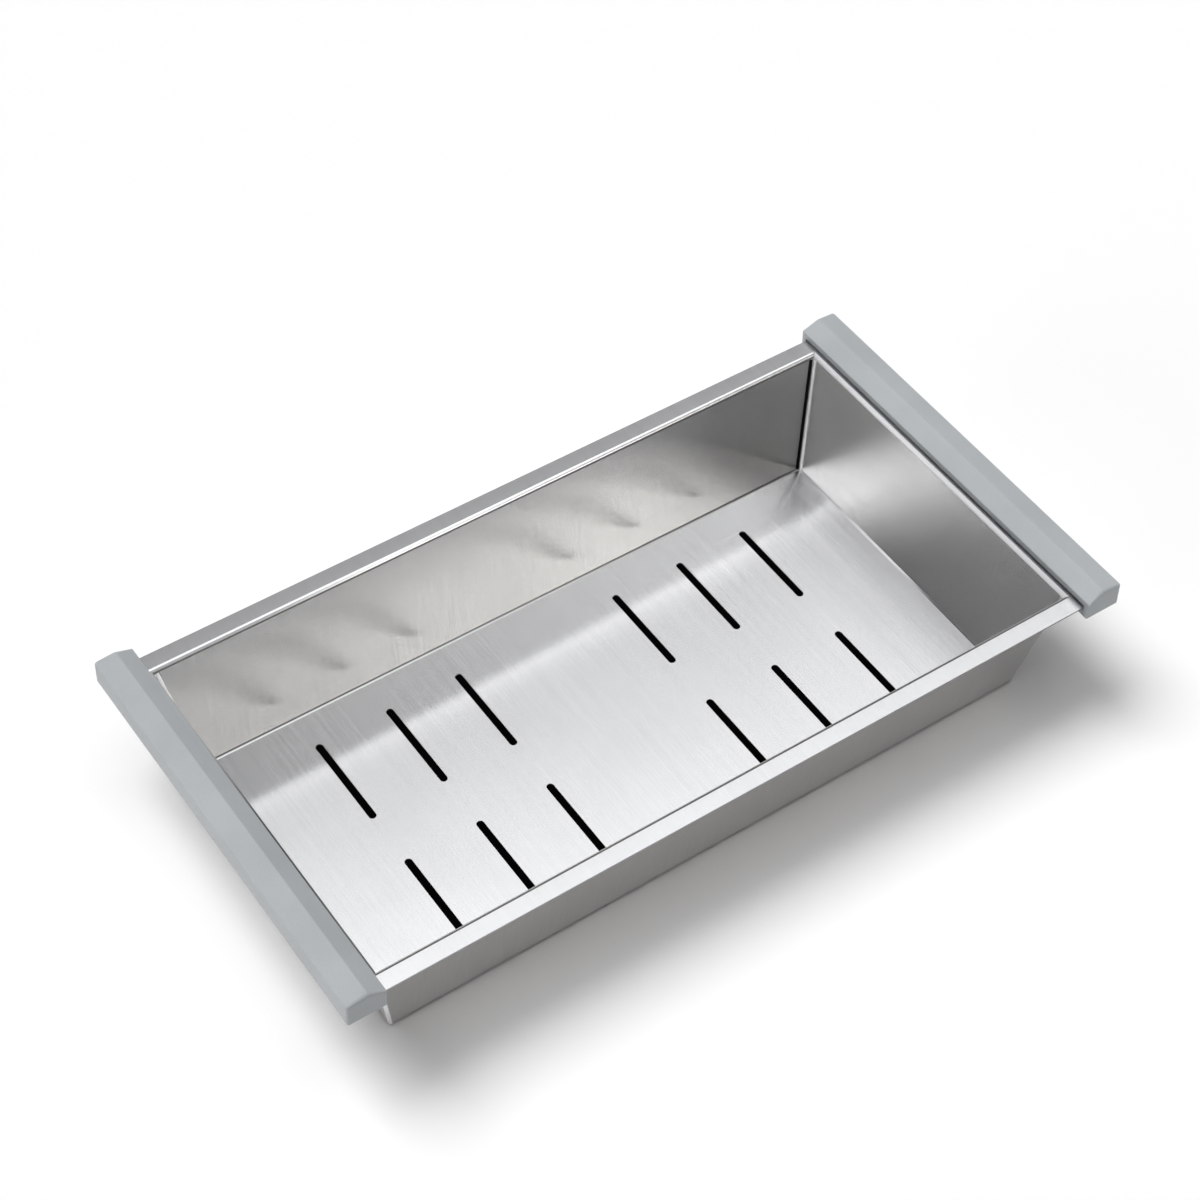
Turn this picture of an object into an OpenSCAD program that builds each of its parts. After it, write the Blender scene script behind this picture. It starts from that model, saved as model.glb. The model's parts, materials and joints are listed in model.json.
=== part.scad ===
// Drain tray that hangs across a sink bowl: one folded stainless blank with a
// slotted floor, corners closed by ground welds, and a two-piece plastic
// handle screwed round each end flange. +X runs along the tray, +Z is up, and
// the origin is at the middle of the floor's underside.

/* [Tray] */
// Inside length of the mouth
mouth_l = 390; // [340:1:420]
// Inside width of the mouth
mouth_w = 200; // [180:1:240]
// Inside depth, from the rim's top face down to the floor
tray_depth = 68; // [50:1:90]
// How far each wall leans in between the mouth and the floor
wall_lean = 12.5; // [6:0.5:20]
// Thickness of the stainless sheet
sheet_t = 1; // [0.8:0.1:1.2]
// Radius inside each folded bend
bend_r = 1.5; // [1:0.1:2.5]
// Radius ground on the four upright corners, outside
corner_r = 2; // [1:0.1:3]

/* [Rim and flanges] */
// Width of the front and rear rims, from the mouth's edge
rim_w = 10.5; // [8:0.5:14]
// Width of the end flanges inside the handles, from the mouth's edge
end_flange_w = 19.2; // [18:0.1:24]
// Radius of the flange's outer corners
flange_corner_r = 3; // [1:0.5:5]

/* [Corner welds] */
// Radius of the ground fillet inside each upright corner
weld_r = 3; // [2:0.1:5]

/* [Drain slots] */
// Length of a slot, end to end
slot_l = 53.5; // [40:0.5:60]
// Width of a slot
slot_w = 4; // [3:0.1:4]
// Distance from one slot to the next in a group
slot_pitch = 40.4; // [25:0.1:42]
// Slots across each group
group_slots = 3; // [1:1:3]
// Distance between the two groups' nearest slots
group_gap = 95.6; // [80:0.1:110]
// Distance between the two rows, end to end
row_gap = 28.9; // [16:0.1:40]

/* [Handle outside] */
// Flat of the flange that shows between the bend and the handle
lip_land = 0.4; // [0.2:0.1:2]
// Thickness of the handle's side wall, outside the flange
side_wall_t = 3; // [2.5:0.1:4]
// Thickness of the handle's end walls
end_wall_t = 3.2; // [2.5:0.1:5]
// Depth of the handle below the rim's top face
handle_drop = 6; // [5:0.1:9]
// Height of the handle's inner edge above the rim
lip_h = 4.7; // [4.2:0.1:6]
// Distance of the ridge from the handle's inner face
ridge_in = 9; // [7:0.1:11]
// Height of the ridge above the rim
ridge_h = 9.4; // [9.2:0.1:11]
// Height of the handle's outer edge above the rim
outer_h = 7.9; // [7.5:0.1:9]
// Gap under the inner lip, over the flange
lip_gap = 1.4; // [0.4:0.1:1.6]
// Radius of the lower edges
low_edge_r = 1; // [0.5:0.1:1.4]
// Radius of the inner upper edge
lip_edge_r = 0.6; // [0.4:0.1:1.4]
// Radius of the ridge
ridge_r = 2.4; // [1:0.1:3]
// Radius of the outer upper edge
outer_edge_r = 1.6; // [0.8:0.1:2.2]

/* [Handle inside] */
// Gap between the flange's edge, or the base strip, and the cover round it
fit_gap = 0.3; // [0.2:0.05:0.5]
// Thickness of the cover's inner lip
lip_t = 2; // [1.6:0.1:2.6]
// Thickness of the cover's roof, measured upright
roof_t = 2.3; // [1.8:0.1:2.6]
// Thickness of the cross ribs
rib_t = 1.4; // [1:0.1:2]
// Cross ribs between one screw and the next
ribs_a_bay = 2; // [1:1:3]
// Diameter of the screw bosses
boss_d = 7.4; // [6.6:0.1:8]
// Floor left under the base strip's cores
core_floor_t = 1.8; // [1.4:0.1:2.4]
// Wall left round the base strip's cores
core_wall_t = 2; // [1.6:0.1:2.6]
// Radius of the base strip's inner lower edge
base_edge_r = 1.2; // [0.6:0.1:2]

/* [Screws] */
// Screws in each handle
screws_a_handle = 3; // [2:1:4]
// Distance from one screw to the next
screw_pitch = 80; // [56:1:90]
// Shank diameter
screw_d = 3.4; // [3:0.1:3.8]
// Head diameter
head_d = 6.6; // [6:0.1:7]
// Height of the countersunk head
head_h = 2; // [1.8:0.1:2.2]
// Depth of the head below the handle's underside
head_sink = 0.3; // [0.1:0.1:0.6]
// How far a screw goes into its boss
screw_bite = 5.6; // [4:0.1:5.8]
// Length of the point
point_l = 2; // [1:0.1:3]
// Clearance round a screw in its boss and countersink
screw_gap = 0.04; // [0.02:0.01:0.08]
// Clearance round a screw in the flange
flange_hole_gap = 0.4; // [0.2:0.1:0.6]
// Width of an arm of the driver recess
recess_w = 0.9; // [0.7:0.1:1.1]
// Depth of the driver recess
recess_h = 1.2; // [0.8:0.1:1.4]

/* [Hidden] */
$fn = 48;
bend_steps = 10;
ball_fn = 32;
steel_grey = "#c9cacc";
weld_grey = "#d8d9da";
handle_grey = "#b5b9bc";
screw_grey = "#c4c5c7";
// Overrun of a cutting shape past the face that it cuts
over = 2;
// Height of the rim's top face
rim_z = tray_depth + sheet_t;

// Angle of the walls above the level
wall_angle = atan2(tray_depth, wall_lean);
// What the rim's bend and the floor's bend take off the wall and the flat beside it
rim_take = (bend_r + sheet_t) * tan(wall_angle / 2);
floor_take = bend_r * tan(wall_angle / 2);
// Where the flat floor ends, from the mouth's edge
floor_edge = -wall_lean - floor_take;

// Length of an upright corner line, its tilt, and half the angle between its walls
corner_l = norm([wall_lean, wall_lean, tray_depth]);
corner_tilt = atan2(norm([wall_lean, wall_lean]), tray_depth);
corner_half = (180 - acos(pow(cos(wall_angle), 2))) / 2;
// How far a weld reaches into the walls before it is trimmed to them
weld_bite = sheet_t / 2;

// Places across a handle, outwards from the mouth's edge
lip_at = rim_take + lip_land;
cavity_at = lip_at + lip_t;
side_at = end_flange_w + fit_gap;
outer_at = side_at + side_wall_t;
ridge_at = lip_at + ridge_in;
screw_at = (cavity_at + side_at) / 2;
// Half lengths along a handle
pocket_half = mouth_w / 2 + rim_w + fit_gap;
handle_half = pocket_half + end_wall_t;
base_half = mouth_w / 2 + rim_w;
screw_first = -screw_pitch * (screws_a_handle - 1) / 2;
// Distance from one cross rib or screw to the next
rib_step = screw_pitch / (ribs_a_bay + 1);
rib_half = floor((pocket_half - rib_t) / rib_step);
// Heights in a handle, from the rim's top face
head_at = head_sink - handle_drop;
screw_l = screw_bite - head_at;

// The cover's section: place across, height and edge radius of each corner, anticlockwise
cover_corners = [
    [lip_at, -handle_drop, low_edge_r],
    [outer_at, -handle_drop, low_edge_r],
    [outer_at, outer_h, outer_edge_r],
    [ridge_at, ridge_h, ridge_r],
    [lip_at, lip_h, lip_edge_r]
];

// Height of the cover's top at a place across it
function roof_h(s) = s < ridge_at
    ? lip_h + (ridge_h - lip_h) * (s - lip_at) / (ridge_at - lip_at)
    : ridge_h + (outer_h - ridge_h) * (s - ridge_at) / (outer_at - ridge_at);

// Outward normal of an anticlockwise outline's edge
function edge_normal(a, b) = [b[1] - a[1], a[0] - b[0]] / norm([b[0] - a[0], b[1] - a[1]]);

// Centre of the ball that rounds corner i of an outline
function ball_centre(corners, i) = let(
    count = len(corners),
    before = edge_normal(corners[(i + count - 1) % count], corners[i]),
    after = edge_normal(corners[i], corners[(i + 1) % count])
) [corners[i][0], corners[i][1]] - corners[i][2] * (before + after) / (1 + before * after);

// Points of an arc, from one angle to another
function arc(centre, r, from, to) = [
    for (i = [0 : bend_steps])
        let(angle = from + (to - from) * i / bend_steps)
            centre + r * [cos(angle), sin(angle)]
];

// The sheet's upper face across one side, from the floor to the flange: x
// outwards from the mouth's edge, y up from the rim's top face
upper_face = concat(
    arc([floor_edge, bend_r - tray_depth], bend_r, -90, wall_angle - 90),
    arc([rim_take, -bend_r - sheet_t], bend_r + sheet_t, wall_angle + 90, 90),
    [[rim_take, over]]
);

// The lower face, closed at the rim's top face outside the rim's bend
lower_face = concat(
    arc([floor_edge, bend_r - tray_depth], bend_r + sheet_t, -90, wall_angle - 90),
    arc([rim_take, -bend_r - sheet_t], bend_r, wall_angle + 90, 90),
    [[rim_take + over, -sheet_t], [rim_take + over, 0]]
);

// What a face bounds between two opposite sides, drawn out along X
module between_sides(face, w, l) {
    left = len(face) - 1;
    translate([0, 0, rim_z])
        rotate([90, 0, 90])
            linear_extrude(height = l + 2 * end_flange_w, center = true)
                polygon(concat(
                    [for (p = face) [w / 2 + p[0], p[1]]],
                    [for (i = [0 : left]) [-w / 2 - face[left - i][0], face[left - i][1]]]
                ));
}

// What a face bounds between all four sides, which meet in mitres
module tray_form(face) {
    intersection() {
        between_sides(face, mouth_w, mouth_l);
        rotate(90) between_sides(face, mouth_l, mouth_w);
    }
}

// Floor, walls and bends, folded from the sheet
module folded_tray() {
    difference() {
        tray_form(lower_face);
        tray_form(upper_face);
    }
}

// A drain slot with round ends, along Y
module drain_slot() {
    straight = slot_l - slot_w;
    translate([-slot_w / 2, -straight / 2, -over])
        cube([slot_w, straight, sheet_t + 2 * over]);
    for (side = [-1, 1])
        translate([0, side * straight / 2, -over])
            cylinder(d = slot_w, h = sheet_t + 2 * over);
}

// Two rows of slots in two groups, left and right of the middle
module drain_slots() {
    for (group = [-1, 1], row = [-1, 1], i = [0 : group_slots - 1])
        translate([group * (group_gap / 2 + i * slot_pitch), row * (row_gap + slot_l) / 2, 0])
            drain_slot();
}

// Plate with round corners, centred, standing on z = 0
module round_plate(l, w, r, t) {
    translate([-l / 2, r - w / 2, 0]) cube([l, w - 2 * r, t]);
    translate([r - l / 2, -w / 2, 0]) cube([l - 2 * r, w, t]);
    for (x = [-1, 1], y = [-1, 1])
        translate([x * (l / 2 - r), y * (w / 2 - r), 0])
            cylinder(r = r, h = t);
}

// Rim and end flanges, all in one plane, with the screws' clearance holes
module rim_ring() {
    difference() {
        translate([0, 0, rim_z - sheet_t])
            round_plate(mouth_l + 2 * end_flange_w, mouth_w + 2 * rim_w, flange_corner_r, sheet_t);
        translate([0, 0, rim_z])
            cube([mouth_l + 2 * rim_take, mouth_w + 2 * rim_take, 2 * over + sheet_t], center = true);
        for (side = [-1, 1])
            at_screws(side)
                translate([0, 0, -sheet_t - over])
                    cylinder(d = screw_d + 2 * flange_hole_gap, h = sheet_t + 2 * over);
    }
}

// Section across an upright corner, seen down its line: what lies between the
// two walls and a round that touches both, reaching into the walls
module corner_section(r, reach) {
    turn = 90 - corner_half;
    middle = [-r / sin(corner_half), 0];
    polygon(concat(
        [[reach / sin(corner_half), 0]],
        [middle + (r + reach) * [cos(turn), sin(turn)]],
        arc(middle, r, turn, -turn),
        [middle + (r + reach) * [cos(turn), -sin(turn)]]
    ));
}

// A corner section swept along the upright corner at +X +Y
module corner_bar(shift, r, reach) {
    translate([mouth_l / 2 - wall_lean, mouth_w / 2 - wall_lean, sheet_t])
        rotate([0, corner_tilt, 45])
            translate([shift, 0, -2 * over])
                linear_extrude(height = corner_l + 4 * over)
                    corner_section(r, reach);
}

// Puts what stands at the +X +Y corner at all four
module at_corners() {
    for (flip_x = [0, 1], flip_y = [0, 1])
        mirror([flip_x, 0, 0]) mirror([0, flip_y, 0]) children();
}

// What grinding takes off the outside of a corner, below the rim's bend
module ground_off() {
    top = rim_z - sheet_t - bend_r;
    intersection() {
        corner_bar(sheet_t / sin(corner_half), corner_r, over);
        translate([0, 0, -over]) cube([mouth_l, mouth_w, top + over]);
    }
}

module tray_pan() {
    color(steel_grey)
        difference() {
            union() {
                folded_tray();
                rim_ring();
            }
            drain_slots();
            at_corners() ground_off();
        }
}

// Weld fillet inside each upright corner, from the floor to the rim's bend
module corner_welds() {
    top = rim_z - rim_take * sin(wall_angle);
    color(weld_grey)
        at_corners()
            difference() {
                intersection() {
                    corner_bar(0, weld_r, weld_bite);
                    translate([0, 0, sheet_t]) cube([mouth_l, mouth_w, top - sheet_t]);
                }
                folded_tray();
            }
}

// Puts a handle's parts at the right or left end: x outwards from the mouth's
// edge, z up from the rim's top face
module at_end(side) {
    mirror([side < 0 ? 1 : 0, 0, 0])
        translate([mouth_l / 2, 0, rim_z])
            children();
}

// Puts a part at each screw of one handle
module at_screws(side) {
    at_end(side)
        for (i = [0 : screws_a_handle - 1])
            translate([screw_at, screw_first + i * screw_pitch, 0])
                children();
}

// Outer form of a cover, all edges rounded
module cover_form() {
    hull()
        for (i = [0 : len(cover_corners) - 1], end = [-1, 1]) {
            centre = ball_centre(cover_corners, i);
            r = cover_corners[i][2];
            translate([centre[0], end * (handle_half - r), centre[1]])
                sphere(r = r, $fn = ball_fn);
        }
}

// Space under the cover's roof, between its lip, side wall and end walls
module cover_cavity() {
    rotate([90, 0, 0])
        linear_extrude(height = 2 * pocket_half, center = true)
            polygon([
                [cavity_at, -handle_drop - over],
                [side_at, -handle_drop - over],
                [side_at, roof_h(side_at) - roof_t],
                [ridge_at, ridge_h - roof_t],
                [cavity_at, roof_h(cavity_at) - roof_t]
            ]);
}

// Cross ribs and screw bosses, which stand on the flange
module cover_ribs() {
    intersection() {
        union() {
            for (i = [-rib_half : rib_half])
                translate([cavity_at - over, i * rib_step - rib_t / 2, 0])
                    cube([side_at - cavity_at + 2 * over, rib_t, ridge_h - roof_t / 2]);
            for (i = [0 : screws_a_handle - 1])
                translate([screw_at, screw_first + i * screw_pitch, 0])
                    cylinder(d = boss_d, h = ridge_h - roof_t / 2);
        }
        rib_space();
    }
}

// Where ribs and bosses may stand: under the middle of the roof
module rib_space() {
    rotate([90, 0, 0])
        linear_extrude(height = 2 * pocket_half, center = true)
            polygon([
                [cavity_at - lip_t / 2, lip_gap + fit_gap],
                [cavity_at, lip_gap + fit_gap],
                [cavity_at, 0],
                [side_at, 0],
                [side_at + side_wall_t / 2, fit_gap],
                [side_at + side_wall_t / 2, outer_h - roof_t / 2],
                [ridge_at, ridge_h - roof_t / 2],
                [cavity_at - lip_t / 2, lip_h - roof_t / 2]
            ]);
}

module handle_cover(side) {
    color(handle_grey)
        at_end(side)
            difference() {
                union() {
                    difference() {
                        cover_form();
                        cover_cavity();
                        translate([lip_at - over, -pocket_half, -handle_drop - over])
                            cube([cavity_at - lip_at + 2 * over, 2 * pocket_half, handle_drop + lip_gap + over]);
                    }
                    cover_ribs();
                }
                for (i = [0 : screws_a_handle - 1])
                    translate([screw_at, screw_first + i * screw_pitch, -over])
                        cylinder(d = screw_d + 2 * screw_gap, h = screw_bite + fit_gap + over);
            }
}

// Section of the base strip, with its inner lower edge rounded
module base_section() {
    translate([lip_at + base_edge_r, -handle_drop])
        square([end_flange_w - lip_at - base_edge_r, handle_drop - sheet_t]);
    translate([lip_at, base_edge_r - handle_drop])
        square([base_edge_r, handle_drop - sheet_t - base_edge_r]);
    translate([lip_at + base_edge_r, base_edge_r - handle_drop])
        circle(r = base_edge_r);
}

// Cores in the base strip's top, between the cross ribs and clear of the screws
module base_cores() {
    core_w = end_flange_w - lip_at - 2 * core_wall_t;
    core_l = rib_step - boss_d;
    for (i = [-rib_half : rib_half - 1])
        translate([lip_at + core_wall_t, (i + 0.5) * rib_step - core_l / 2, core_floor_t - handle_drop])
            cube([core_w, core_l, handle_drop]);
}

module handle_base(side) {
    color(handle_grey)
        at_end(side)
            difference() {
                rotate([90, 0, 0])
                    linear_extrude(height = 2 * base_half, center = true)
                        base_section();
                base_cores();
                for (i = [0 : screws_a_handle - 1])
                    translate([screw_at, screw_first + i * screw_pitch, 0])
                        screw_hole();
            }
}

// Through hole and countersink for one screw in the base strip
module screw_hole() {
    translate([0, 0, -handle_drop - over])
        cylinder(d = screw_d + 2 * screw_gap, h = handle_drop + over);
    translate([0, 0, -handle_drop - over])
        cylinder(d = head_d + 2 * screw_gap, h = head_sink + over);
    translate([0, 0, head_at])
        cylinder(d1 = head_d + 2 * screw_gap, d2 = screw_d + 2 * screw_gap, h = head_h);
}

// One countersunk screw, point up, with a cross recess in its head
module handle_screw() {
    difference() {
        union() {
            translate([0, 0, head_at])
                cylinder(d1 = head_d, d2 = screw_d, h = head_h);
            translate([0, 0, head_at])
                cylinder(d = screw_d, h = screw_l - point_l);
            translate([0, 0, screw_bite - point_l])
                cylinder(d1 = screw_d, d2 = recess_w, h = point_l);
        }
        for (turn = [0, 90])
            rotate(turn)
                translate([-screw_d / 2, -recess_w / 2, head_at - over])
                    cube([screw_d, recess_w, recess_h + over]);
    }
}

module handle_screws(side) {
    color(screw_grey) at_screws(side) handle_screw();
}

tray_pan();
corner_welds();
handle_cover(-1);  // left_handle_cover
handle_base(-1);  // left_handle_base
handle_screws(-1);  // left_handle_screws
handle_cover(1);  // right_handle_cover
handle_base(1);  // right_handle_base
handle_screws(1);  // right_handle_screws
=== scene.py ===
import json
import math

import bmesh
import bpy
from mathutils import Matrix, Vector

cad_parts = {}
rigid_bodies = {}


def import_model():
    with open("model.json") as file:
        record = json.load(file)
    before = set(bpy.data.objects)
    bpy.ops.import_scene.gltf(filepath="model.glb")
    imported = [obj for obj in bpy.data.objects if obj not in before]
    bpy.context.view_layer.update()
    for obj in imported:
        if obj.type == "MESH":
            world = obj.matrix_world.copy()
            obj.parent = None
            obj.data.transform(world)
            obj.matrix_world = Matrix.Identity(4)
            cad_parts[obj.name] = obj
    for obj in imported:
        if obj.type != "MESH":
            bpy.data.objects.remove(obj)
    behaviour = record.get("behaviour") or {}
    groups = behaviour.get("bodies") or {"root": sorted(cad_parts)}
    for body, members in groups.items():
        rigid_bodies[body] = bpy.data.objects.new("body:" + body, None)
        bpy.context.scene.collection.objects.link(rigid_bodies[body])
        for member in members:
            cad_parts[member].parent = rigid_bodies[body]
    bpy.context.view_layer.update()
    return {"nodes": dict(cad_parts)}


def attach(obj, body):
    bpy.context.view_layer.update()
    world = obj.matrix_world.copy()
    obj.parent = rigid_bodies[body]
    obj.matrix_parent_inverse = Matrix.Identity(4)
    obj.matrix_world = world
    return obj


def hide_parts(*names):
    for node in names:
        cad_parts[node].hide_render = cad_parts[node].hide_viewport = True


for leftover in list(bpy.data.objects):
    bpy.data.objects.remove(leftover)
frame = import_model()
scene = bpy.context.scene


# The camera: a long lens at the front left, 49 degrees above the level, solved from the
# photograph's own edges. The tray fills most of the frame, with no shift and no depth of field.
camera_lens, camera_sensor = 83.52, 36
camera_place = (-0.51035, -0.68953, 1.07915)
camera_turn = (40.99, -1.31, -34.45)

camera = bpy.data.objects.new("camera", bpy.data.cameras.new("camera"))
camera.data.sensor_width = camera_sensor
camera.data.lens = camera_lens
camera.location = camera_place
camera.rotation_euler = [math.radians(angle) for angle in camera_turn]
scene.collection.objects.link(camera)
scene.camera = camera
scene.view_settings.view_transform = "Standard"


# The studio: matt white paper on a table, with a black card under the tray that its slots look
# down on, painted shade under the slots. The steel mirrors a pale wall low down and soft panels
# above it in a dim room, and three lamps light the paper and the plastic alone.
paper_white, paper_roughness, paper_gloss = "#fafafa", 0.95, 0.2
paper_size, paper_drop = 12.0, 0.0005
slot_shade_black, slot_shade_roughness, slot_shade_gloss = "#040404", 1.0, 0.0
slot_shade_size, slot_shade_drop = (0.356, 0.166), 0.0002
# The room's glow in front and behind, and the stretch of the direction's Y where it changes
room_front, room_rear, room_turn = 0.1, 0.105, (-0.6, 0.6)
# The wall's glow, and the degrees above the level between which it fades
wall_glow, wall_top = 0.98, (9, 17)
# The panel overhead: its glow, its soft edges as run over rise of the direction, and the least
# rise that is counted
top_glow = 1.69
top_edges_x = (-0.64, 0.12, 0.5, 0.6)
top_edges_y = (-0.18, 0.51, 0.47, 0.94)
least_rise = 0.02
# Soft panels in degrees: azimuth from +Y towards +X, elevation, half width, half height, how far
# their edges fade to the sides and up and down, and the glow
soft_panels = [
    (-118, 48.5, 15, 9.5, 24.5, 15, 3.1),
    (147, 40.5, 8.5, 16, 7, 3.5, 2.5),
    (100, 46, 29.5, 15.5, 9.5, 10.5, 1.5),
    (65, 56, 19.5, 13.5, 4, 3, 0.8),
]
# The light is warm low down and cool overhead, and warmest where the front panels are
warm_light, cool_light, cool_rise = "#fffefc", "#fcfdff", (0.3, 0.75)
front_light, front_y, front_rise = "#fffdfa", (-0.3, -0.55), (0.28, 0.42)
# Lamps that the steel doesn't mirror: azimuth, elevation, angle across and strength
lamps = [
    ("key_lamp", -38, 64, 34, 2.36),
    ("fill_lamp", 165, 84, 50, 1.05),
    ("side_lamp", -90, 14, 24, 0.4),
]
# Settings for Map Range nodes: soft ends, and the outputs of one that falls from 1 to 0
eased = {"interpolation_type": "SMOOTHSTEP"}
falling = (1.0, 0.0)


def linear(hex_colour):
    """An sRGB hex colour as linear RGBA."""
    shares = [int(hex_colour[i:i + 2], 16) / 255 for i in (1, 3, 5)]
    shares = [s / 12.92 if s <= 0.04045 else ((s + 0.055) / 1.055) ** 2.4 for s in shares]
    return (*shares, 1.0)


def fill(node, inputs):
    """Fills inputs with values, or links them from a node's first output or a given output."""
    for key, given in inputs.items():
        for source in given if isinstance(given, list) else [given]:
            if isinstance(source, bpy.types.Node):
                source = source.outputs[0]
            if isinstance(source, bpy.types.NodeSocket):
                node.id_data.links.new(source, node.inputs[key])
            else:
                node.inputs[key].default_value = source


def put(tree, kind, inputs=(), **settings):
    """Adds a node with its settings. Its inputs go by name or number, or else in their order."""
    node = tree.nodes.new(kind)
    for name, value in settings.items():
        setattr(node, name, value)
    fill(node, inputs if isinstance(inputs, dict) else dict(enumerate(inputs)))
    return node


def surface(name):
    """A new material, with its node tree and its Principled shader."""
    material = bpy.data.materials.new(name)
    material.use_nodes = True
    return material, material.node_tree, material.node_tree.nodes["Principled BSDF"]


def staged_sheet(name, length, width, height, material):
    """A flat staged rectangle that faces up."""
    mesh = bpy.data.meshes.new(name)
    signs = ((-1, -1), (1, -1), (1, 1), (-1, 1))
    corners = [(x * length / 2, y * width / 2, height) for x, y in signs]
    mesh.from_pydata(corners, [], [(0, 1, 2, 3)])
    mesh.materials.append(material)
    flat = bpy.data.objects.new(name, mesh)
    scene.collection.objects.link(flat)


# Uncoated white paper: matt, so that it shows the tray's soft shadow and no mirror image
paper, tree, shader = surface("matt_white_paper")
fill(shader, {"Base Color": linear(paper_white), "Roughness": paper_roughness,
              "Specular IOR Level": paper_gloss})
staged_sheet("table_paper", paper_size, paper_size, -paper_drop, paper)

# Painted shade under the slots: a black card without any sheen, so that they look as dark as over
# an open bowl
slot_shade_card, tree, shader = surface("painted_slot_shade")
fill(shader, {"Base Color": linear(slot_shade_black), "Roughness": slot_shade_roughness,
              "Specular IOR Level": slot_shade_gloss})
staged_sheet("slot_shade_card_under_tray", *slot_shade_size, -slot_shade_drop, slot_shade_card)

world = bpy.data.worlds.new("studio")
world.use_nodes = True
scene.world = world
room = world.node_tree
towards = put(room, "ShaderNodeTexCoord").outputs["Generated"]
direction = put(room, "ShaderNodeSeparateXYZ", (towards,)).outputs
height = put(room, "ShaderNodeMath", (direction["Z"],), operation="ARCSINE")

glow = put(room, "ShaderNodeMapRange", (direction["Y"], *room_turn, room_front, room_rear), **eased)
wall = put(room, "ShaderNodeMapRange", (height, *map(math.radians, wall_top), *falling), **eased)
extra = put(room, "ShaderNodeMath", (wall_glow, glow), operation="SUBTRACT")
extra = put(room, "ShaderNodeMath", (wall, extra), operation="MULTIPLY")
glow = put(room, "ShaderNodeMath", (glow, extra), operation="ADD")

panel = top_glow
steepness = put(room, "ShaderNodeMath", (direction["Z"], least_rise), operation="MAXIMUM")
for axis, edges in (("X", top_edges_x), ("Y", top_edges_y)):
    run = put(room, "ShaderNodeMath", (direction[axis], steepness), operation="DIVIDE")
    rising_edge = put(room, "ShaderNodeMapRange", (run, *edges[:2]), **eased)
    falling_edge = put(room, "ShaderNodeMapRange", (run, *edges[2:], *falling), **eased)
    panel = put(room, "ShaderNodeMath", (panel, rising_edge), operation="MULTIPLY")
    panel = put(room, "ShaderNodeMath", (panel, falling_edge), operation="MULTIPLY")
glow = put(room, "ShaderNodeMath", (glow, panel), operation="ADD")

for azimuth, elevation, half_width, half_height, side_fade, up_fade, strength in soft_panels:
    turned = put(room, "ShaderNodeVectorRotate",
                 {"Vector": towards, "Angle": math.radians(azimuth)}, rotation_type="Z_AXIS")
    turned = put(room, "ShaderNodeSeparateXYZ", (turned,)).outputs
    side = put(room, "ShaderNodeMath", (turned["X"], turned["Y"]), operation="ARCTAN2")
    side = put(room, "ShaderNodeMath", (side,), operation="ABSOLUTE")
    rise = put(room, "ShaderNodeMath", (height, math.radians(elevation)), operation="SUBTRACT")
    rise = put(room, "ShaderNodeMath", (rise,), operation="ABSOLUTE")
    side_edge = (math.radians(half_width), math.radians(half_width + side_fade))
    rise_edge = (math.radians(half_height), math.radians(half_height + up_fade))
    panel = put(room, "ShaderNodeMapRange", (side, *side_edge, strength, 0.0), **eased)
    edge = put(room, "ShaderNodeMapRange", (rise, *rise_edge, *falling), **eased)
    panel = put(room, "ShaderNodeMath", (panel, edge), operation="MULTIPLY")
    glow = put(room, "ShaderNodeMath", (glow, panel), operation="ADD")

cool = put(room, "ShaderNodeMapRange", (direction["Z"], *cool_rise), **eased)
light = put(room, "ShaderNodeMix", {0: cool, 6: linear(warm_light), 7: linear(cool_light)},
            data_type="RGBA").outputs[2]
in_front = put(room, "ShaderNodeMapRange", (direction["Y"], *front_y), **eased)
high_up = put(room, "ShaderNodeMapRange", (direction["Z"], *front_rise), **eased)
in_front = put(room, "ShaderNodeMath", (in_front, high_up), operation="MULTIPLY")
light = put(room, "ShaderNodeMix", {0: in_front, 6: light, 7: linear(front_light)},
            data_type="RGBA").outputs[2]
fill(room.nodes["Background"], {"Color": light, "Strength": glow})
world.cycles_visibility.diffuse = False

for name, azimuth, elevation, across, strength in lamps:
    lamp = bpy.data.objects.new(name, bpy.data.lights.new(name, "SUN"))
    lamp.data.energy = strength
    lamp.data.angle = math.radians(across)
    turn, tilt = math.radians(azimuth), math.radians(elevation)
    towards_lamp = Vector((math.sin(turn) * math.cos(tilt), math.cos(turn) * math.cos(tilt),
                           math.sin(tilt)))
    lamp.rotation_euler = towards_lamp.to_track_quat("Z", "Y").to_euler()
    lamp.visible_glossy = False
    scene.collection.objects.link(lamp)


# The tray pan: one blank of 1 mm stainless sheet, brushed along its short side, laser-cut and
# then folded: floor, leaning walls, rims and end flanges. Its brush lines run across the floor,
# up the long walls, and level along the end walls.
sheet = 0.001
wall_height, wall_lean = 0.068, 0.0125
wall_rise = math.sin(math.atan2(wall_height, wall_lean))
# Corners closer than this are one, edges sharper than this many degrees aren't smoothed, and
# this is how much large faces count in the normals
merge_within, sharp_bend, flat_weight = 0.000002, 32, 80
# A face is level where its normal's Z is more than this
level_slant = 0.97
# Noise lies mostly between these two values
noise_middle = (0.3, 0.7)


def plain_copy(node, name):
    """The node's mesh as a new object with its doubles merged, shaded smooth across its bends."""
    mesh = frame["nodes"][node].data.copy()
    mesh.name = name
    mesh.materials.clear()
    work = bmesh.new()
    work.from_mesh(mesh)
    bmesh.ops.remove_doubles(work, verts=work.verts, dist=merge_within)
    work.to_mesh(mesh)
    work.free()
    mesh.shade_smooth()
    mesh.set_sharp_from_angle(angle=math.radians(sharp_bend))
    piece = bpy.data.objects.new(name, mesh)
    scene.collection.objects.link(piece)
    return piece


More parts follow.
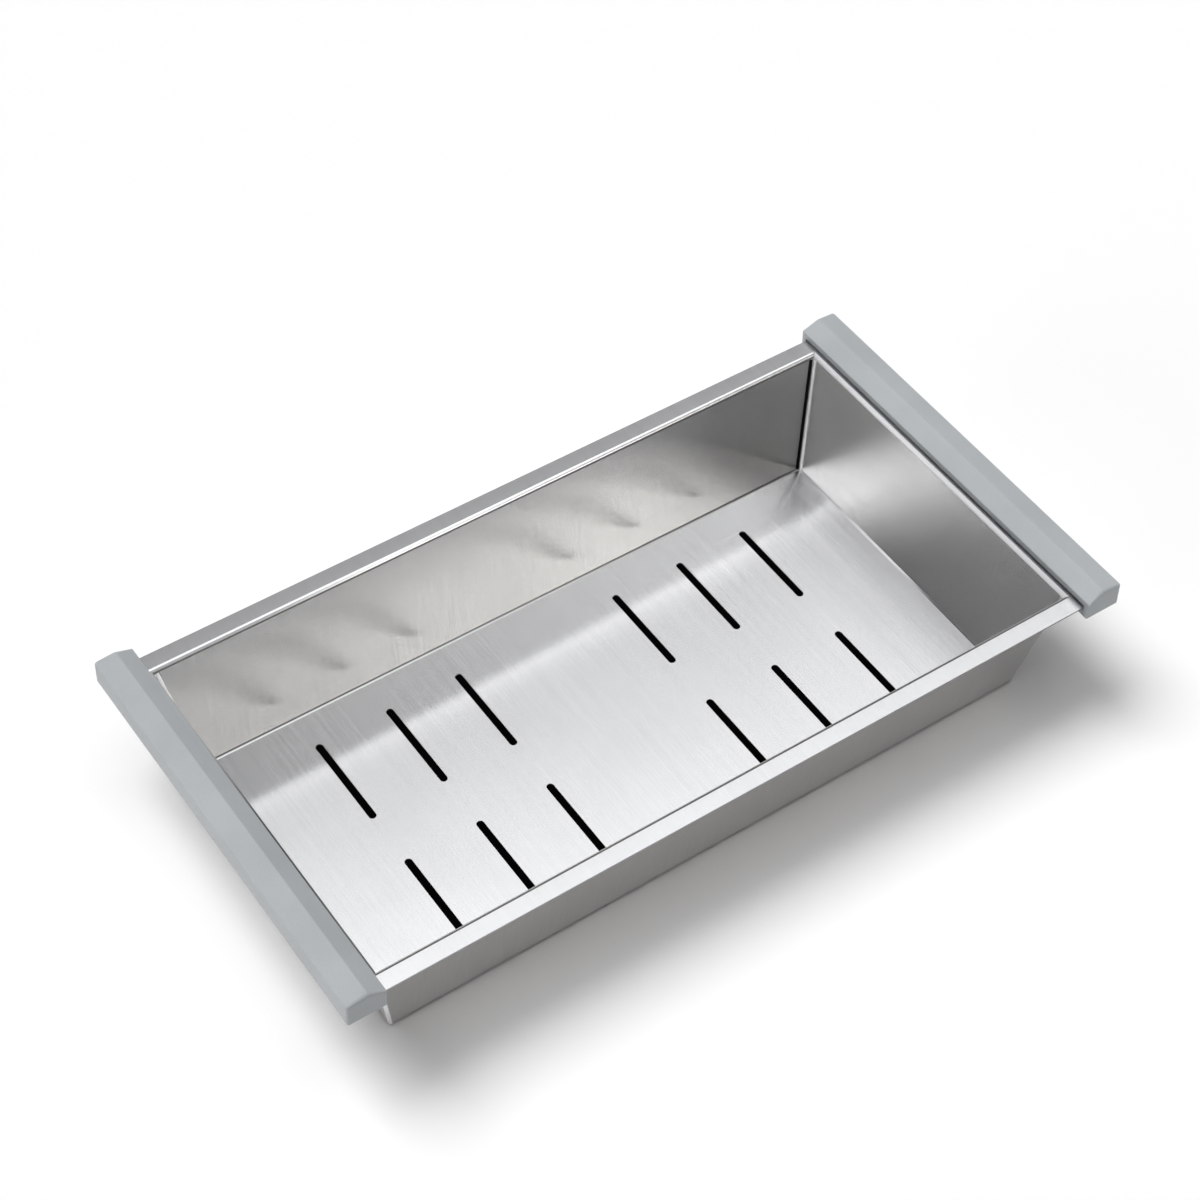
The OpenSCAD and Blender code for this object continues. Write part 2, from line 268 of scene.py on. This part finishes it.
def keep_flats(piece):
    """Weights the normals by face area, so that flat faces look flat beside round edges."""
    weighted = piece.modifiers.new("flat_faces", "WEIGHTED_NORMAL")
    weighted.keep_sharp = True
    weighted.weight = flat_weight


def unroll(piece):
    """Gives a folded piece the flat blank's own coordinates, in metres, as its UV map."""
    mesh = piece.data
    layer = mesh.uv_layers.new(name="flat_blank")
    for face in mesh.polygons:
        level = abs(face.normal.z) > level_slant
        end_wall = abs(face.normal.x) > abs(face.normal.y)
        for loop in face.loop_indices:
            x, y, z = mesh.vertices[mesh.loops[loop].vertex_index].co
            rise = 0.0 if level else z / wall_rise
            if end_wall:
                x += math.copysign(rise, x)
            else:
                y += math.copysign(rise, y)
            layer.data[loop].uv = (x, y)


def brush_lines(tree, blank, gap, length, detail):
    """Noise drawn out along the blank's short side, each line a gap wide and a length long."""
    drawn_out = put(tree, "ShaderNodeMapping",
                    {"Vector": blank, "Scale": (1 / gap, 1 / length, 1.0)})
    return put(tree, "ShaderNodeTexNoise",
               {"Vector": drawn_out, "Scale": 1.0, "Detail": detail, "Roughness": 0.6})


# Brushed 1.4301 stainless: a satin sheen that draws reflections out across the brush lines.
# Smudges and shallow buckles, which the sheet has all over, break the sheen up.
steel_light, steel_dark = "#e7e7e7", "#dedede"
steel_roughness = (0.185, 0.22)
line_gap, line_length, line_depth, line_share = 0.0003, 0.15, 0.00004, 0.65
streak_gap, streak_length = 0.004, 0.09
smudge_span, smudge_noise, smudge_roughness = 0.05, (0.4, 0.7), (0.0, 0.015)
buckle_span, buckle_depth = 0.07, 0.00006

brushed_stainless, tree, shader = surface("brushed_stainless_sheet")
blank = put(tree, "ShaderNodeUVMap", uv_map="flat_blank")
place = put(tree, "ShaderNodeTexCoord").outputs["Object"]
spot = put(tree, "ShaderNodeSeparateXYZ", (place,)).outputs
lines = brush_lines(tree, blank, line_gap, line_length, 3.0)
streaks = brush_lines(tree, blank, streak_gap, streak_length, 2.0)
lines_part = put(tree, "ShaderNodeMath", (lines, line_share), operation="MULTIPLY")
streaks_part = put(tree, "ShaderNodeMath", (streaks, 1 - line_share), operation="MULTIPLY")
brushing = put(tree, "ShaderNodeMath", (lines_part, streaks_part), operation="ADD")
level_share = put(tree, "ShaderNodeMapRange", (brushing, *noise_middle), **eased)
steel = put(tree, "ShaderNodeMix",
            {0: level_share, 6: linear(steel_dark), 7: linear(steel_light)},
            data_type="RGBA").outputs[2]

# Each line is finer than the render shows, so the walls also get lines 0.8 mm apart
wall_light, wall_dark = "#e7e7e7", "#dfdfdf"
coarse_gap, coarse_length = 0.0008, 0.03
wall_foot, wall_head = (0.002, 0.004), (0.066, 0.068)
coarse_lines = brush_lines(tree, blank, coarse_gap, coarse_length, 3.0)
coarse_share = put(tree, "ShaderNodeMapRange", (coarse_lines, *noise_middle), **eased)
wall_steel = put(tree, "ShaderNodeMix",
                 {0: coarse_share, 6: linear(wall_dark), 7: linear(wall_light)},
                 data_type="RGBA").outputs[2]
over_foot = put(tree, "ShaderNodeMapRange", (spot["Z"], *wall_foot), **eased)
under_head = put(tree, "ShaderNodeMapRange", (spot["Z"], *wall_head, *falling), **eased)
on_wall = put(tree, "ShaderNodeMath", (over_foot, under_head), operation="MULTIPLY")
steel = put(tree, "ShaderNodeMix", {0: on_wall, 6: steel, 7: wall_steel},
            data_type="RGBA").outputs[2]

# Painted shade: the sheet's lower side, which is the tray's outside, is darkened and a little
# warmed
outside_shade_grey, lower_side_slant = "#e7e6e5", -0.1
outside_shade = put(tree, "ShaderNodeAttribute", attribute_name="outside_shade").outputs["Fac"]
steel = put(tree, "ShaderNodeMix", {0: outside_shade, 6: steel, 7: linear(outside_shade_grey)},
            data_type="RGBA", blend_type="MULTIPLY").outputs[2]

# Painted shade: the rear rim's bend is darkened along its middle, towards its left end, which dims
# its highlight there
rim_shade_grey = "#989899"
rim_shade_right, rim_shade_rear = (-0.14, -0.06), (0.09, 0.095)
rim_shade_foot, rim_shade_head = (0.0671, 0.0675), (0.0686, 0.0689)
rim_shade_edges = [("X", (*rim_shade_right, *falling)), ("Z", rim_shade_foot),
                ("Z", (*rim_shade_head, *falling))]
rim_shade = put(tree, "ShaderNodeMapRange", (spot["Y"], *rim_shade_rear), **eased)
for axis, ends in rim_shade_edges:
    edge = put(tree, "ShaderNodeMapRange", (spot[axis], *ends), **eased)
    rim_shade = put(tree, "ShaderNodeMath", (rim_shade, edge), operation="MULTIPLY")
steel = put(tree, "ShaderNodeMix", {0: rim_shade, 6: steel, 7: linear(rim_shade_grey)},
            data_type="RGBA").outputs[2]

smudges = put(tree, "ShaderNodeTexNoise",
              {"Vector": place, "Scale": 1 / smudge_span, "Detail": 3.0})
smudged = put(tree, "ShaderNodeMapRange", (smudges, *smudge_noise, *smudge_roughness), **eased)
rough = put(tree, "ShaderNodeMapRange", (brushing, *noise_middle, *steel_roughness), **eased)
rough = put(tree, "ShaderNodeMath", (rough, smudged), operation="ADD")
buckles = put(tree, "ShaderNodeTexNoise",
              {"Vector": place, "Scale": 1 / buckle_span, "Detail": 1.0})
waves = put(tree, "ShaderNodeBump", {"Height": buckles, "Distance": buckle_depth})
relief = put(tree, "ShaderNodeBump", {"Height": lines, "Distance": line_depth, "Normal": waves})
along_blank = put(tree, "ShaderNodeTangent", direction_type="UV_MAP", uv_map="flat_blank")
fill(shader, {"Base Color": steel, "Metallic": 1.0, "Roughness": rough, "Anisotropic": 1.0,
              "Tangent": along_blank, "Normal": relief})

# The laser's cut edge: finely ribbed and duller than the brushed face. The ribs are drawn
# 0.8 mm apart, coarser than real ones, so that they show.
edge_light, edge_dark, edge_roughness = "#9a9a9b", "#8a8a8b", 0.42
rib_gap, rib_depth = 0.0008, 0.00003
laser_cut_edge, tree, shader = surface("laser_cut_edge")
place = put(tree, "ShaderNodeTexCoord").outputs["Object"]
ribs = put(tree, "ShaderNodeTexNoise", {"Vector": place, "Scale": 1 / rib_gap, "Detail": 2.0})
rib_share = put(tree, "ShaderNodeMapRange", (ribs, *noise_middle), **eased)
edge_tint = put(tree, "ShaderNodeMix", {0: rib_share, 6: linear(edge_dark), 7: linear(edge_light)},
                data_type="RGBA").outputs[2]
relief = put(tree, "ShaderNodeBump", {"Height": ribs, "Distance": rib_depth})
fill(shader, {"Base Color": edge_tint, "Metallic": 1.0, "Roughness": edge_roughness,
              "Normal": relief})

# Painted shade on each bend inside the tray, which is a little duller than the brushed face: its
# colour is pale grey where the wall meets the floor, and dark grey above that and under the rims
bend_pale_shade, bend_dark_shade, pressed_roughness = "#cccccc", "#8e8e8e", 0.3
pale_to_dark_shade = (0.0012, 0.0015)
shaded_bend, tree, shader = surface("bend_with_painted_shade")
place = put(tree, "ShaderNodeTexCoord").outputs["Object"]
up_bend = put(tree, "ShaderNodeSeparateXYZ", (place,)).outputs["Z"]
up_bend = put(tree, "ShaderNodeMapRange", (up_bend, *pale_to_dark_shade), **eased)
bend_shade_tint = put(tree, "ShaderNodeMix",
                {0: up_bend, 6: linear(bend_pale_shade), 7: linear(bend_dark_shade)},
                data_type="RGBA").outputs[2]
fill(shader, {"Base Color": bend_shade_tint, "Metallic": 1.0, "Roughness": pressed_roughness})

# Corners sanded by hand after folding: matt, so they gather light from all round. The
# scratches are drawn 0.6 mm across, coarser than real ones, so that they show.
sanded_light, sanded_dark, sanded_roughness = "#f4f4f4", "#e4e4e4", 0.6
grit_span = 0.0006
sanded_corner, tree, shader = surface("sanded_stainless")
place = put(tree, "ShaderNodeTexCoord").outputs["Object"]
sanding = put(tree, "ShaderNodeTexNoise", {"Vector": place, "Scale": 1 / grit_span, "Detail": 2.0})
sanding = put(tree, "ShaderNodeMapRange", (sanding, *noise_middle), **eased)
sanded_tint = put(tree, "ShaderNodeMix",
                  {0: sanding, 6: linear(sanded_dark), 7: linear(sanded_light)},
                  data_type="RGBA").outputs[2]
fill(shader, {"Base Color": sanded_tint, "Metallic": 1.0, "Roughness": sanded_roughness})

# The right end's bend, sanded across its round: scratches that face every way catch the lamps,
# so it stays pale all along
cross_sanded_grey, cross_sanded_metal = "#e2e2e4", 0.4
sanded_bend, tree, shader = surface("cross_sanded_bend")
fill(shader, {"Base Color": linear(cross_sanded_grey), "Metallic": cross_sanded_metal,
              "Roughness": sanded_roughness})

# A face's finish goes by how high it lies and by its normal: Z for how level it is, and X and Y
# for the wall that it belongs to
upright_slant = 0.02
towards_wall = 0.2
foot_bend_height, foot_bend_slant = (0.00101, 0.003), (0.22, 0.97)
rim_bend_foot, rim_bend_head, rim_bend_slant = 0.066, 0.0695, (0.2, 0.58)
end_bend_slant = (0.2, 0.97)

pan = plain_copy("tray_pan", "tray_pan_brushed")
unroll(pan)
finishes = [brushed_stainless, laser_cut_edge, shaded_bend, sanded_corner, sanded_bend]
for finish in finishes:
    pan.data.materials.append(finish)
for face in pan.data.polygons:
    high, slant = face.center.z, face.normal.z
    right_wall, left_wall = face.normal.x < -towards_wall, face.normal.x > towards_wall
    cut = abs(slant) < upright_slant and (high < sheet or high > wall_height)
    corner = (min(abs(face.normal.x), abs(face.normal.y)) > towards_wall
              and sheet < high < wall_height)
    foot_bend = (foot_bend_height[0] < high < foot_bend_height[1]
                 and foot_bend_slant[0] < slant < foot_bend_slant[1])
    at_end = end_bend_slant[0] < slant < end_bend_slant[1]
    at_side = rim_bend_slant[0] < slant < rim_bend_slant[1]
    rim_bend = rim_bend_foot < high < rim_bend_head and (at_end if left_wall else at_side)
    if cut:
        finish = laser_cut_edge
    elif right_wall and high > rim_bend_foot and at_end:
        finish = sanded_bend
    elif corner:
        finish = sanded_corner
    # The bends inside the tray, apart from the right end, get the painted shade
    elif not right_wall and (foot_bend or rim_bend):
        finish = shaded_bend
    else:
        finish = brushed_stainless
    face.material_index = finishes.index(finish)
# The faces that point down, the tray's outside, carry the painted shade
faces_down = pan.data.attributes.new("outside_shade", "FLOAT", "FACE")
for face in pan.data.polygons:
    faces_down.data[face.index].value = float(face.normal.z < lower_side_slant)
keep_flats(pan)
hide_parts("tray_pan")
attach(pan, "root")


# The corner welds: a run of weld metal closes each of the four mitred corners, and is ground to
# a smooth round and polished. At the right end, its faces on the long walls' side are painted black
# as the shade of a crease.
weld_light, weld_dark, weld_roughness = "#ececed", "#dcdcdd", (0.08, 0.16)
belt_gap, belt_length, belt_depth = 0.0006, 0.008, 0.000006
crease_shade_black, crease_shade_roughness, crease_shade_gloss = "#0c0c0c", 0.9, 0.1
# Faces of the right-hand welds whose normal's Y is more than this get the painted shade of a crease
crease_shade_slant = 0.8

# Polished weld metal: almost a mirror, so it shows as a thin bright line down each corner. The
# belt's marks are drawn 0.6 mm apart, coarser than real ones, so that they show.
ground_weld, tree, shader = surface("ground_stainless_weld")
place = put(tree, "ShaderNodeTexCoord").outputs["Object"]
grinding = put(tree, "ShaderNodeMapping",
               {"Vector": place, "Scale": (1 / belt_gap, 1 / belt_gap, 1 / belt_length)})
grit = put(tree, "ShaderNodeTexNoise", {"Vector": grinding, "Scale": 1.0, "Detail": 3.0})
grit_share = put(tree, "ShaderNodeMapRange", (grit, *noise_middle), **eased)
weld_tint = put(tree, "ShaderNodeMix",
                {0: grit_share, 6: linear(weld_dark), 7: linear(weld_light)},
                data_type="RGBA").outputs[2]
rough = put(tree, "ShaderNodeMapRange", (grit, *noise_middle, *weld_roughness), **eased)
relief = put(tree, "ShaderNodeBump", {"Height": grit, "Distance": belt_depth})
fill(shader, {"Base Color": weld_tint, "Metallic": 1.0, "Roughness": rough, "Normal": relief})

# Painted shade of a crease: black and matt, on the right-hand welds' faces next to the long walls
crease_shade, tree, shader = surface("painted_crease_shade")
fill(shader, {"Base Color": linear(crease_shade_black), "Roughness": crease_shade_roughness,
              "Specular IOR Level": crease_shade_gloss})

welds = plain_copy("corner_welds", "corner_welds_ground")
finishes = [ground_weld, crease_shade]
for finish in finishes:
    welds.data.materials.append(finish)
# The right-hand welds' faces next to the long walls get the painted shade
for face in welds.data.polygons:
    in_crease_shade = face.center.x > 0 and abs(face.normal.y) > crease_shade_slant
    face.material_index = finishes.index(crease_shade if in_crease_shade else ground_weld)
keep_flats(welds)
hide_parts("corner_welds")
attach(welds, "root")


# The handles: each is a base strip under the end flange and a hollow cover over it, both
# moulded in light grey ABS with a fine spark-eroded grain, and clamped by three screws.
handle_light, handle_dark, tint_noise = "#aeb2b5", "#a6aaad", (0.35, 0.65)
abs_ior, abs_roughness = 1.53, (0.42, 0.55)
grain_span, grain_depth, grain_strength, grain_share = 0.0005, 0.00002, 0.6, 0.5
tone_span = 0.03

# Grained ABS: satin, with a grain that scatters highlights and slight clouds in its tone. The
# grain is drawn 0.5 mm across, coarser than a real one, so that it shows.
moulded_abs, tree, shader = surface("grained_grey_abs")
place = put(tree, "ShaderNodeTexCoord").outputs["Object"]
grain = put(tree, "ShaderNodeTexNoise", {"Vector": place, "Scale": 1 / grain_span, "Detail": 2.0})
cloud = put(tree, "ShaderNodeTexNoise", {"Vector": place, "Scale": 1 / tone_span, "Detail": 2.0})
grain_part = put(tree, "ShaderNodeMath", (grain, grain_share), operation="MULTIPLY")
cloud_part = put(tree, "ShaderNodeMath", (cloud, 1 - grain_share), operation="MULTIPLY")
tone = put(tree, "ShaderNodeMath", (grain_part, cloud_part), operation="ADD")
tone = put(tree, "ShaderNodeMapRange", (tone, *tint_noise), **eased)
abs_tint = put(tree, "ShaderNodeMix", {0: tone, 6: linear(handle_dark), 7: linear(handle_light)},
               data_type="RGBA").outputs[2]
rough = put(tree, "ShaderNodeMapRange", (grain, *noise_middle, *abs_roughness), **eased)
relief = put(tree, "ShaderNodeBump",
             {"Height": grain, "Distance": grain_depth, "Strength": grain_strength})
fill(shader, {"Base Color": abs_tint, "IOR": abs_ior, "Roughness": rough, "Normal": relief})

for side in ("left", "right"):
    for part in ("base", "cover"):
        moulding = plain_copy(f"{side}_handle_{part}", f"{side}_handle_{part}_moulded")
        moulding.data.materials.append(moulded_abs)
        keep_flats(moulding)
        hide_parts(f"{side}_handle_{part}")
        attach(moulding, "root")


# The screws: three countersunk self-tapping screws a handle, turned and rolled from stainless
# wire with a driver cross in each head. They go up through the base strip and the flange into
# the cover.
screw_count, screw_pitch, screw_at, screw_foot = 3, 0.08, 0.20699, 0.0633
# The seed for how far each screw is turned, one less at the left and one more at the right
turn_seed = 7
screw_sizes = {
    "Head Across": 0.0066, "Head Depth": 0.002, "Across": 0.0034, "Core Across": 0.0025,
    "Length": 0.0113, "Point Length": 0.002, "Thread Pitch": 0.0012,
    "Recess Width": 0.0009, "Recess Depth": 0.0012,
}
head_sides, shank_sides, steps_a_turn, thread_sides = 48, 24, 20, 3


def screw_tree():
    """Geometry Nodes for a row of screws along Y, each turned to its own angle."""
    tree = bpy.data.node_groups.new("row_of_screws", "GeometryNodeTree")
    wanted = [("Count", "Int"), ("First Place", "Vector"), ("Pitch", "Float"),
              *((name, "Float") for name in screw_sizes), ("Seed", "Int"), ("Material", "Material")]
    for name, kind in wanted:
        tree.interface.new_socket(name, in_out="INPUT", socket_type="NodeSocket" + kind)
    tree.interface.new_socket("Screws", in_out="OUTPUT", socket_type="NodeSocketGeometry")
    given = put(tree, "NodeGroupInput").outputs
    head_radius = put(tree, "ShaderNodeMath", (given["Head Across"], 2), operation="DIVIDE")
    radius = put(tree, "ShaderNodeMath", (given["Across"], 2), operation="DIVIDE")
    core_radius = put(tree, "ShaderNodeMath", (given["Core Across"], 2), operation="DIVIDE")
    ridge = put(tree, "ShaderNodeMath", (radius, core_radius), operation="SUBTRACT")
    tip_radius = put(tree, "ShaderNodeMath", (ridge, 0.5), operation="MULTIPLY")
    point_foot = put(tree, "ShaderNodeMath", (given["Length"], given["Point Length"]),
                     operation="SUBTRACT")
    threaded = put(tree, "ShaderNodeMath", (point_foot, given["Head Depth"]), operation="SUBTRACT")

    def cone(sides, foot_radius, top_radius, depth, foot):
        made = put(tree, "GeometryNodeMeshCone", {"Vertices": sides, "Radius Bottom": foot_radius,
                   "Radius Top": top_radius, "Depth": depth})
        place = put(tree, "ShaderNodeCombineXYZ", {"Z": foot})
        return put(tree, "GeometryNodeTransform", {"Geometry": made, "Translation": place})

    # The head, with the driver cross cut into its face by two boxes centred on that face
    head = cone(head_sides, head_radius, radius, given["Head Depth"], 0.0)
    cut_depth = put(tree, "ShaderNodeMath", (given["Recess Depth"], 2), operation="MULTIPLY")
    cut_size = put(tree, "ShaderNodeCombineXYZ",
                   (given["Across"], given["Recess Width"], cut_depth))
    arm = put(tree, "GeometryNodeMeshCube", {"Size": cut_size})
    crossed = put(tree, "GeometryNodeTransform",
                  {"Geometry": arm, "Rotation": (0, 0, math.pi / 2)})
    recessed = put(tree, "GeometryNodeMeshBoolean",
                   {"Mesh 1": head, "Mesh 2": [arm, crossed], "Self Intersection": True},
                   operation="DIFFERENCE", solver="EXACT")

    # The core and its point, and a ridge of three sides wound round the core as the thread
    core = cone(shank_sides, core_radius, core_radius, threaded, given["Head Depth"])
    point = cone(shank_sides, core_radius, tip_radius, given["Point Length"], point_foot)
    turns = put(tree, "ShaderNodeMath", (threaded, given["Thread Pitch"]), operation="DIVIDE")
    helix = put(tree, "GeometryNodeCurveSpiral",
                {"Resolution": steps_a_turn, "Rotations": turns, "Start Radius": core_radius,
                 "End Radius": core_radius, "Height": threaded})
    upright = put(tree, "GeometryNodeSetCurveNormal", {"Curve": helix}, mode="Z_UP")
    profile = put(tree, "GeometryNodeCurvePrimitiveCircle",
                  {"Resolution": thread_sides, "Radius": ridge})
    profile = put(tree, "GeometryNodeTransform",
                  {"Geometry": profile, "Rotation": (0, 0, math.pi)})
    thread = put(tree, "GeometryNodeCurveToMesh",
                 {"Curve": upright, "Profile Curve": profile, "Fill Caps": True})
    lift = put(tree, "ShaderNodeCombineXYZ", {"Z": given["Head Depth"]})
    thread = put(tree, "GeometryNodeTransform", {"Geometry": thread, "Translation": lift})
    screw = put(tree, "GeometryNodeJoinGeometry", {0: [recessed, core, point, thread]})

    # The material's rings read how far each point lies from the screw's own axis
    spot = put(tree, "ShaderNodeSeparateXYZ", (put(tree, "GeometryNodeInputPosition"),)).outputs
    squares = [put(tree, "ShaderNodeMath", (spot[axis], 2), operation="POWER") for axis in "XY"]
    from_axis = put(tree, "ShaderNodeMath", squares, operation="ADD")
    from_axis = put(tree, "ShaderNodeMath", (from_axis,), operation="SQRT")
    marked = put(tree, "GeometryNodeStoreNamedAttribute",
                 {"Geometry": screw, "Name": "from_axis", "Value": from_axis},
                 data_type="FLOAT", domain="POINT")

    # The row: one screw at each place, turned as the driver happened to leave it
    step = put(tree, "ShaderNodeCombineXYZ", {"Y": given["Pitch"]})
    places = put(tree, "GeometryNodeMeshLine",
                 {"Count": given["Count"], "Start Location": given["First Place"], "Offset": step},
                 mode="OFFSET")
    turn = put(tree, "FunctionNodeRandomValue", {2: 0.0, 3: math.pi / 2, "Seed": given["Seed"]},
               data_type="FLOAT").outputs[1]
    angle = put(tree, "ShaderNodeCombineXYZ", {"Z": turn})
    row = put(tree, "GeometryNodeInstanceOnPoints",
              {"Points": places, "Instance": marked, "Rotation": angle})
    real = put(tree, "GeometryNodeRealizeInstances", (row,))
    finished = put(tree, "GeometryNodeSetMaterial",
                   {"Geometry": real, "Material": given["Material"]})
    put(tree, "NodeGroupOutput", (finished,))
    return tree


# Turned stainless wire: bright and smooth, with fine rings left by the tool on its head
wire_grey, wire_roughness, ring_gap = "#c9cacc", (0.22, 0.36), 0.00012
turned_stainless, tree, shader = surface("turned_stainless_wire")
from_axis = put(tree, "ShaderNodeAttribute", attribute_name="from_axis").outputs["Fac"]
ring = put(tree, "ShaderNodeMath", (from_axis, ring_gap), operation="DIVIDE")
rings = put(tree, "ShaderNodeTexNoise", {"W": ring, "Scale": 1.0, "Detail": 2.0},
            noise_dimensions="1D")
rough = put(tree, "ShaderNodeMapRange", (rings, *noise_middle, *wire_roughness), **eased)
fill(shader, {"Base Color": linear(wire_grey), "Metallic": 1.0, "Roughness": rough})

row_of_screws = screw_tree()
first_y = -screw_pitch * (screw_count - 1) / 2
for side, sign in (("left", -1), ("right", 1)):
    settings = {"Count": screw_count, "First Place": (sign * screw_at, first_y, screw_foot),
                "Pitch": screw_pitch, **screw_sizes, "Seed": turn_seed + sign,
                "Material": turned_stainless}
    name = f"{side}_handle_screws_turned"
    pattern = bpy.data.objects.new(name + "_pattern", bpy.data.meshes.new(name + "_pattern"))
    scene.collection.objects.link(pattern)
    nodes = pattern.modifiers.new("row_of_screws", "NODES")
    nodes.node_group = row_of_screws
    for socket in row_of_screws.interface.items_tree:
        if socket.in_out == "INPUT":
            nodes[socket.identifier] = settings[socket.name]
    bpy.context.view_layer.update()
    evaluated = pattern.evaluated_get(bpy.context.evaluated_depsgraph_get())
    made = bpy.data.meshes.new_from_object(evaluated)
    bpy.data.objects.remove(pattern)
    made.name = name
    # The pattern's own empty material slot comes first, and goes
    made.materials.pop(index=0)
    screws = bpy.data.objects.new(name, made)
    scene.collection.objects.link(screws)
    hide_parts(f"{side}_handle_screws")
    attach(screws, "root")
